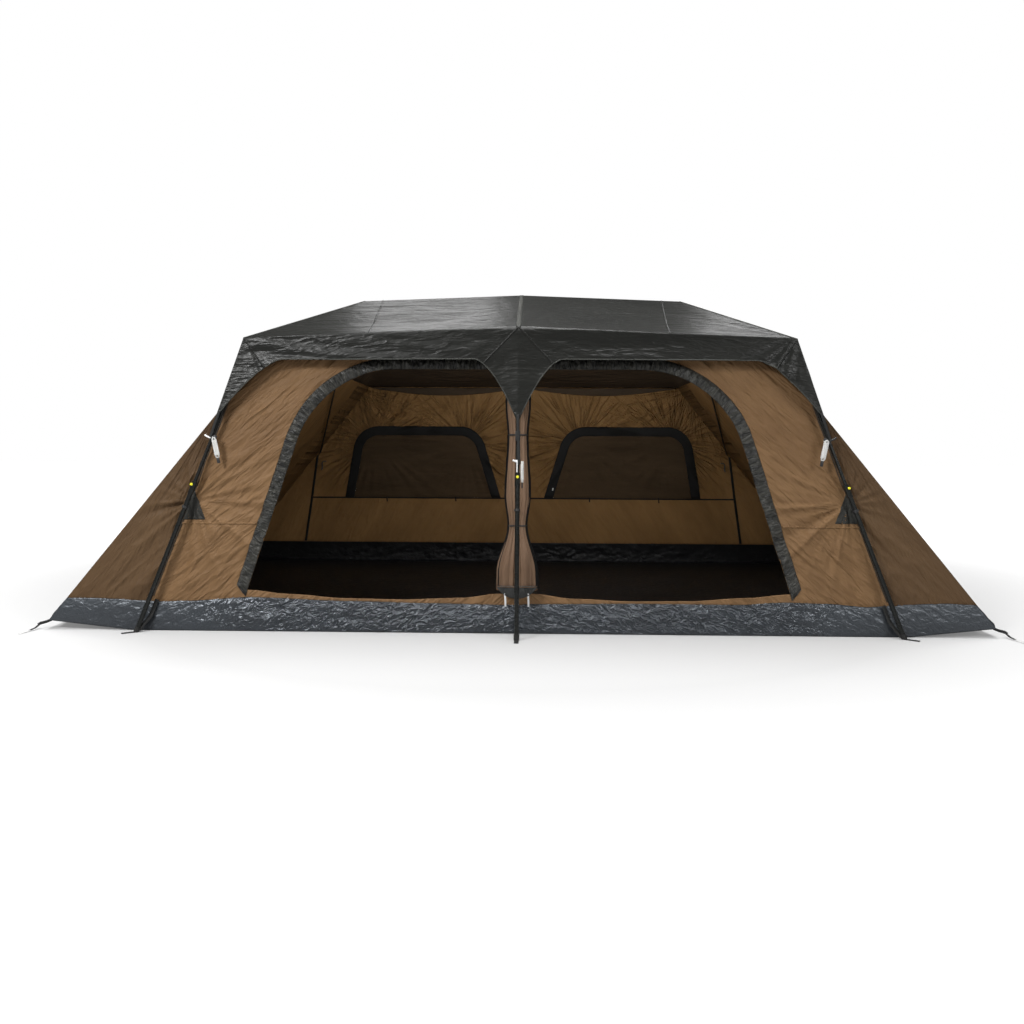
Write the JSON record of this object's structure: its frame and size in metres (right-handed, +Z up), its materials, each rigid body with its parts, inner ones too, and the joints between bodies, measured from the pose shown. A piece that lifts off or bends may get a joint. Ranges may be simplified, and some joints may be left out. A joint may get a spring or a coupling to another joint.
{
  "type": "instant tent",
  "caption": "Family instant tent: hinged steel frame with telescopic legs folds like an umbrella under a fly, over an inner tent with doors, windows and groundsheet.",
  "frame": {"origin": "on the ground, under the middle of the tent's footprint", "axes": "+X along the ridge, to the right as seen from the doors; the doors face -Y and the windows +Y; +Z up"},
  "size_m": [5.355, 3.47, 2.1],
  "materials": {
    "pole_steel": "satin",
    "moulded_black": "matte",
    "button_yellow": "satin",
    "webbing_black": "matte",
    "fly_charcoal": "satin",
    "canvas_brown": "matte",
    "ceiling_dark": "matte",
    "window_mesh": "matte",
    "tub_slate": "gloss",
    "cord_white": "matte"
  },
  "bodies": {
    "root": {"front_wall": "canvas_brown", "back_wall": "canvas_brown", "window_left": "window_mesh", "window_right": "window_mesh", "left_wall": "canvas_brown", "right_wall": "canvas_brown", "ceiling": "ceiling_dark", "groundsheet": "tub_slate", "roof_fly": "fly_charcoal", "rolled_door_left": "canvas_brown", "rolled_door_right": "canvas_brown", "guy_hank_front_left": "cord_white", "guy_hank_front_centre": "cord_white", "guy_hank_front_right": "cord_white"},
    "centre_hub": {"centre_hub": "moulded_black"},
    "ridge_left_inner": {"ridge_pole_left_inner": "pole_steel"},
    "ridge_left_outer": {"ridge_pole_left_outer": "pole_steel"},
    "left_hub": {"left_hub": "moulded_black"},
    "ridge_right_inner": {"ridge_pole_right_inner": "pole_steel"},
    "ridge_right_outer": {"ridge_pole_right_outer": "pole_steel"},
    "right_hub": {"right_hub": "moulded_black"},
    "arm_front_left": {"roof_arm_front_left": "pole_steel", "elbow_front_left": "moulded_black"},
    "upper_leg_front_left": {"upper_leg_front_left": "pole_steel"},
    "lower_leg_front_left": {"lower_leg_front_left": "pole_steel", "foot_front_left": "webbing_black"},
    "lock_button_front_left": {"lock_button_front_left": "button_yellow"},
    "arm_front_centre": {"roof_arm_front_centre": "pole_steel", "elbow_front_centre": "moulded_black"},
    "upper_leg_front_centre": {"upper_leg_front_centre": "pole_steel"},
    "lower_leg_front_centre": {"lower_leg_front_centre": "pole_steel", "foot_front_centre": "webbing_black"},
    "lock_button_front_centre": {"lock_button_front_centre": "button_yellow"},
    "arm_front_right": {"roof_arm_front_right": "pole_steel", "elbow_front_right": "moulded_black"},
    "upper_leg_front_right": {"upper_leg_front_right": "pole_steel"},
    "lower_leg_front_right": {"lower_leg_front_right": "pole_steel", "foot_front_right": "webbing_black"},
    "lock_button_front_right": {"lock_button_front_right": "button_yellow"},
    "arm_back_left": {"roof_arm_back_left": "pole_steel", "elbow_back_left": "moulded_black"},
    "upper_leg_back_left": {"upper_leg_back_left": "pole_steel"},
    "lower_leg_back_left": {"lower_leg_back_left": "pole_steel", "foot_back_left": "webbing_black"},
    "lock_button_back_left": {"lock_button_back_left": "button_yellow"},
    "arm_back_centre": {"roof_arm_back_centre": "pole_steel", "elbow_back_centre": "moulded_black"},
    "upper_leg_back_centre": {"upper_leg_back_centre": "pole_steel"},
    "lower_leg_back_centre": {"lower_leg_back_centre": "pole_steel", "foot_back_centre": "webbing_black"},
    "lock_button_back_centre": {"lock_button_back_centre": "button_yellow"},
    "arm_back_right": {"roof_arm_back_right": "pole_steel", "elbow_back_right": "moulded_black"},
    "upper_leg_back_right": {"upper_leg_back_right": "pole_steel"},
    "lower_leg_back_right": {"lower_leg_back_right": "pole_steel", "foot_back_right": "webbing_black"},
    "lock_button_back_right": {"lock_button_back_right": "button_yellow"}
  },
  "joints": [
    {"name": "frame_fold", "type": "slide", "parent": "root", "child": "centre_hub", "axis": [0, 0, -1], "range_m": [0, 1.75], "deforming": ["front_wall", "back_wall", "window_left", "window_right", "left_wall", "right_wall", "ceiling", "groundsheet", "roof_fly", "rolled_door_left", "rolled_door_right", "guy_hank_front_left", "guy_hank_front_centre", "guy_hank_front_right"]},
    {"name": "ridge_left_inner_fold", "type": "hinge", "parent": "centre_hub", "child": "ridge_left_inner", "pos_m": [-0.046, 0, 2.066], "axis": [0, 1, 0], "range_deg": [0, 80.6]},
    {"name": "ridge_left_outer_fold", "type": "hinge", "parent": "ridge_left_inner", "child": "ridge_left_outer", "pos_m": [-0.5375, 0, 2.045], "axis": [0, -1, 0], "range_deg": [0, 161.1]},
    {"name": "left_hub_fold", "type": "hinge", "parent": "ridge_left_outer", "child": "left_hub", "pos_m": [-1.029, 0, 2.024], "axis": [0, 1, 0], "range_deg": [0, 80.6]},
    {"name": "ridge_right_inner_fold", "type": "hinge", "parent": "centre_hub", "child": "ridge_right_inner", "pos_m": [0.046, 0, 2.066], "axis": [0, -1, 0], "range_deg": [0, 80.6]},
    {"name": "ridge_right_outer_fold", "type": "hinge", "parent": "ridge_right_inner", "child": "ridge_right_outer", "pos_m": [0.5375, 0, 2.045], "axis": [0, 1, 0], "range_deg": [0, 161.1]},
    {"name": "right_hub_fold", "type": "hinge", "parent": "ridge_right_outer", "child": "right_hub", "pos_m": [1.029, 0, 2.024], "axis": [0, -1, 0], "range_deg": [0, 80.6]},
    {"name": "arm_fold_front_left", "type": "hinge", "parent": "left_hub", "child": "arm_front_left", "pos_m": [-1.08754, -0.04426, 2.024], "axis": [-0.9622, 0.2725, 0], "range_deg": [0, 100.4]},
    {"name": "leg_fold_front_left", "type": "hinge", "parent": "arm_front_left", "child": "upper_leg_front_left", "pos_m": [-1.48147, -1.43518, 1.54807], "axis": [0.9193, -0.1966, -0.3409], "range_deg": [0, 109.2]},
    {"name": "leg_slide_front_left", "type": "slide", "parent": "upper_leg_front_left", "child": "lower_leg_front_left", "axis": [0.3598, 0.069, 0.9305], "range_m": [0, 0.58]},
    {"name": "button_press_front_left", "type": "slide", "parent": "lower_leg_front_left", "child": "lock_button_front_left", "axis": [0.4399, 0.8669, -0.2344], "range_m": [0, 0.003], "stiffness_N_per_m": 200},
    {"name": "arm_fold_front_centre", "type": "hinge", "parent": "centre_hub", "child": "arm_front_centre", "pos_m": [0, -0.046, 2.066], "axis": [-1, 0, 0], "range_deg": [0, 100]},
    {"name": "leg_fold_front_centre", "type": "hinge", "parent": "arm_front_centre", "child": "upper_leg_front_centre", "pos_m": [0, -1.48759, 1.6021], "axis": [1, 0, 0], "range_deg": [0, 106.1]},
    {"name": "leg_slide_front_centre", "type": "slide", "parent": "upper_leg_front_centre", "child": "lower_leg_front_centre", "axis": [0, 0.107, 0.9943], "range_m": [0, 0.58]},
    {"name": "button_press_front_centre", "type": "slide", "parent": "lower_leg_front_centre", "child": "lock_button_front_centre", "axis": [0, 0.9943, -0.107], "range_m": [0, 0.003], "stiffness_N_per_m": 200},
    {"name": "arm_fold_front_right", "type": "hinge", "parent": "right_hub", "child": "arm_front_right", "pos_m": [1.08754, -0.04426, 2.024], "axis": [-0.9622, -0.2725, 0], "range_deg": [0, 100.4]},
    {"name": "leg_fold_front_right", "type": "hinge", "parent": "arm_front_right", "child": "upper_leg_front_right", "pos_m": [1.48147, -1.43518, 1.54807], "axis": [0.9193, 0.1966, 0.3409], "range_deg": [0, 109.2]},
    {"name": "leg_slide_front_right", "type": "slide", "parent": "upper_leg_front_right", "child": "lower_leg_front_right", "axis": [-0.3598, 0.069, 0.9305], "range_m": [0, 0.58]},
    {"name": "button_press_front_right", "type": "slide", "parent": "lower_leg_front_right", "child": "lock_button_front_right", "axis": [-0.4399, 0.8669, -0.2344], "range_m": [0, 0.003], "stiffness_N_per_m": 200},
    {"name": "arm_fold_back_left", "type": "hinge", "parent": "left_hub", "child": "arm_back_left", "pos_m": [-1.08754, 0.04426, 2.024], "axis": [0.9622, 0.2725, 0], "range_deg": [0, 100.4]},
    {"name": "leg_fold_back_left", "type": "hinge", "parent": "arm_back_left", "child": "upper_leg_back_left", "pos_m": [-1.48147, 1.43518, 1.54807], "axis": [-0.9193, -0.1966, 0.3409], "range_deg": [0, 109.2]},
    {"name": "leg_slide_back_left", "type": "slide", "parent": "upper_leg_back_left", "child": "lower_leg_back_left", "axis": [0.3598, -0.069, 0.9305], "range_m": [0, 0.58]},
    {"name": "button_press_back_left", "type": "slide", "parent": "lower_leg_back_left", "child": "lock_button_back_left", "axis": [0.4399, -0.8669, -0.2344], "range_m": [0, 0.003], "stiffness_N_per_m": 200},
    {"name": "arm_fold_back_centre", "type": "hinge", "parent": "centre_hub", "child": "arm_back_centre", "pos_m": [0, 0.046, 2.066], "axis": [1, 0, 0], "range_deg": [0, 100]},
    {"name": "leg_fold_back_centre", "type": "hinge", "parent": "arm_back_centre", "child": "upper_leg_back_centre", "pos_m": [0, 1.48759, 1.6021], "axis": [-1, 0, 0], "range_deg": [0, 106.1]},
    {"name": "leg_slide_back_centre", "type": "slide", "parent": "upper_leg_back_centre", "child": "lower_leg_back_centre", "axis": [0, -0.107, 0.9943], "range_m": [0, 0.58]},
    {"name": "button_press_back_centre", "type": "slide", "parent": "lower_leg_back_centre", "child": "lock_button_back_centre", "axis": [0, -0.9943, -0.107], "range_m": [0, 0.003], "stiffness_N_per_m": 200},
    {"name": "arm_fold_back_right", "type": "hinge", "parent": "right_hub", "child": "arm_back_right", "pos_m": [1.08754, 0.04426, 2.024], "axis": [0.9622, -0.2725, 0], "range_deg": [0, 100.4]},
    {"name": "leg_fold_back_right", "type": "hinge", "parent": "arm_back_right", "child": "upper_leg_back_right", "pos_m": [1.48147, 1.43518, 1.54807], "axis": [-0.9193, 0.1966, -0.3409], "range_deg": [0, 109.2]},
    {"name": "leg_slide_back_right", "type": "slide", "parent": "upper_leg_back_right", "child": "lower_leg_back_right", "axis": [-0.3598, -0.069, 0.9305], "range_m": [0, 0.58]},
    {"name": "button_press_back_right", "type": "slide", "parent": "lower_leg_back_right", "child": "lock_button_back_right", "axis": [-0.4399, -0.8669, -0.2344], "range_m": [0, 0.003], "stiffness_N_per_m": 200}
  ],
  "couplings": [
    {"joint": "ridge_left_inner_fold", "follows": "frame_fold", "rad_per_m": 0.80285},
    {"joint": "ridge_left_outer_fold", "follows": "frame_fold", "rad_per_m": 1.6057},
    {"joint": "left_hub_fold", "follows": "frame_fold", "rad_per_m": 0.80285},
    {"joint": "ridge_right_inner_fold", "follows": "frame_fold", "rad_per_m": 0.80285},
    {"joint": "ridge_right_outer_fold", "follows": "frame_fold", "rad_per_m": 1.6057},
    {"joint": "right_hub_fold", "follows": "frame_fold", "rad_per_m": 0.80285},
    {"joint": "arm_fold_front_left", "follows": "frame_fold", "rad_per_m": 0.99939},
    {"joint": "leg_fold_front_left", "follows": "frame_fold", "rad_per_m": 1.0878},
    {"joint": "arm_fold_front_centre", "follows": "frame_fold", "rad_per_m": 0.9955},
    {"joint": "leg_fold_front_centre", "follows": "frame_fold", "rad_per_m": 1.0568},
    {"joint": "arm_fold_front_right", "follows": "frame_fold", "rad_per_m": 0.99939},
    {"joint": "leg_fold_front_right", "follows": "frame_fold", "rad_per_m": 1.0878},
    {"joint": "arm_fold_back_left", "follows": "frame_fold", "rad_per_m": 0.99939},
    {"joint": "leg_fold_back_left", "follows": "frame_fold", "rad_per_m": 1.0878},
    {"joint": "arm_fold_back_centre", "follows": "frame_fold", "rad_per_m": 0.9955},
    {"joint": "leg_fold_back_centre", "follows": "frame_fold", "rad_per_m": 1.0568},
    {"joint": "arm_fold_back_right", "follows": "frame_fold", "rad_per_m": 0.99939},
    {"joint": "leg_fold_back_right", "follows": "frame_fold", "rad_per_m": 1.0878}
  ]
}
